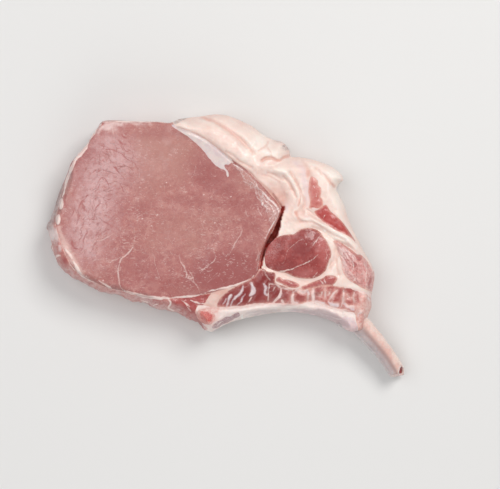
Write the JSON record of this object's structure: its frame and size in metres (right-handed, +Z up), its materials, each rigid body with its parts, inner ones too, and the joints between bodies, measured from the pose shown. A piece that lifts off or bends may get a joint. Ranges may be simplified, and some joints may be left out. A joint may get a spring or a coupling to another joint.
{
  "type": "raw pork tomahawk steak",
  "caption": "Raw pork tomahawk steak: a loin chop with a pale pink eye muscle, thick back fat, dark rib meat and the long curved rib bone scraped clean at its end.",
  "frame": {"origin": "middle of the whole steak's box, at the level of the surface that it lies on", "axes": "+Z up, out of the upper cut face; +X from the big eye muscle towards the clean end of the rib; +Y from the rib towards the back fat"},
  "size_m": [0.1792, 0.131, 0.0289],
  "materials": {
    "fat": "firm white-pink raw fat, moist and softly shiny",
    "pale_meat": "wet pale pink raw loin meat, fine grained, with thin white veins of fat",
    "dark_meat": "wet dark red raw meat with thin white seams",
    "streaky_meat": "wet pink raw belly meat, streaked with fat",
    "bone": "scraped rib bone, ivory white with a thin pink skin",
    "marrow": "red bone marrow, moist and spongy"
  },
  "bodies": {
    "root": {"fat_cap": "fat", "fat_wedge": "fat", "edge_muscle": "pale_meat", "loin_eye": "pale_meat", "rib_muscle": "dark_meat", "small_muscle_left": "dark_meat", "small_muscle_right": "dark_meat", "round_muscle": "dark_meat", "fold_strip": "streaky_meat", "belly_strip": "streaky_meat", "belly_muscle": "streaky_meat", "rib_bone": "bone", "head_marrow": "marrow", "rib_marrow": "marrow"}
  },
  "joints": []
}
